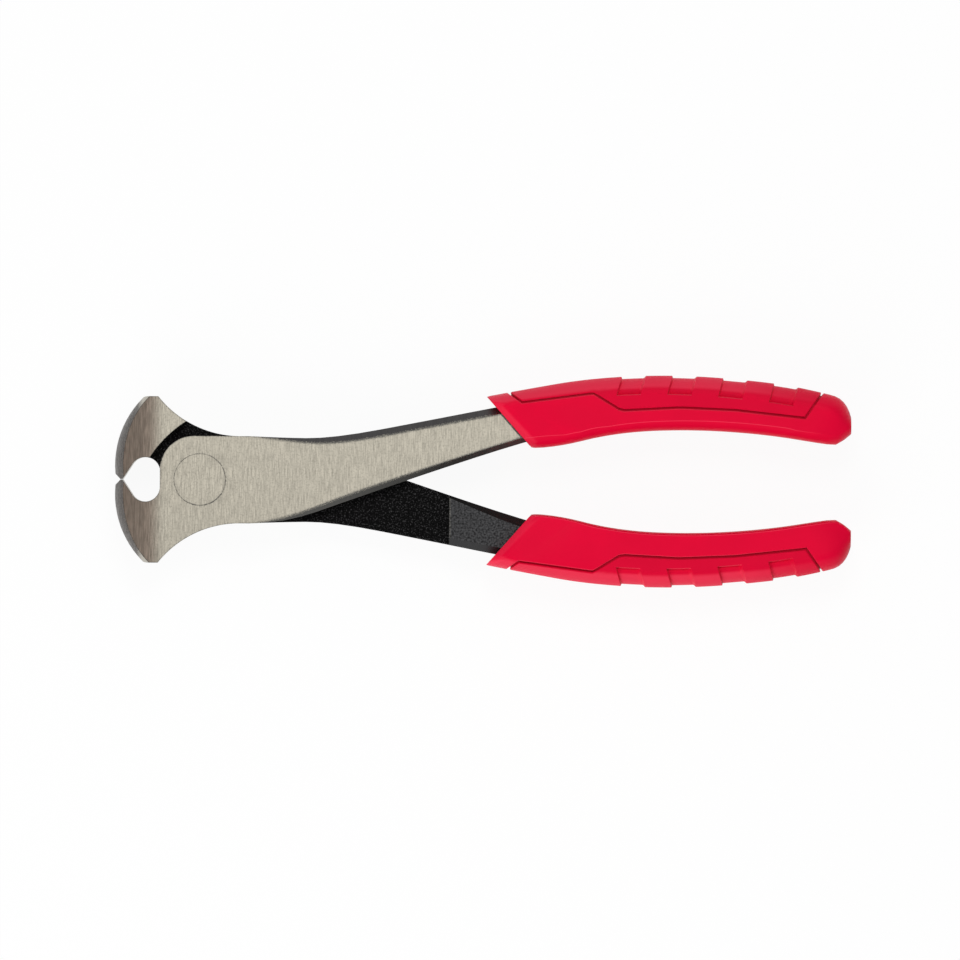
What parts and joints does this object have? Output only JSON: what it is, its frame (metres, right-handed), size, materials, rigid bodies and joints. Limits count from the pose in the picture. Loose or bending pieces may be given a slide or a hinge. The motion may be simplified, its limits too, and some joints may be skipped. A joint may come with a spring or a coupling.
{
  "type": "end cutting nippers",
  "caption": "Hand nippers with flared end cutting jaws, a lapped joint on a flush rivet and long handles with moulded red grips.",
  "frame": {"origin": "on the pivot axis, at the ground rear face of the joint", "axes": "+X from the jaws to the grips, +Y towards the upper handle, +Z along the pivot axis out of the front face"},
  "size_m": [0.1841, 0.053, 0.0224],
  "materials": {
    "ground_steel": "ground faces with fine cross marks, black oxide on the sides and bevels",
    "oxidised_steel": "black oxide on the lap and the arm, ground jaw",
    "rivet_steel": "ground flush with the joint",
    "grip_sleeve": "fine satin texture",
    "grip_pad": "soft matte"
  },
  "bodies": {
    "back_half": {"back_lever": "oxidised_steel", "pivot_rivet": "rivet_steel", "lower_grip_sleeve": "grip_sleeve", "lower_grip_pad": "grip_pad"},
    "front_half": {"front_lever": "ground_steel", "upper_grip_sleeve": "grip_sleeve", "upper_grip_pad": "grip_pad"}
  },
  "joints": [
    {"name": "jaw_pivot", "type": "hinge", "parent": "back_half", "child": "front_half", "pos_m": [0, 0, 0], "axis": [0, 0, 1], "range_deg": [0, 45]}
  ]
}
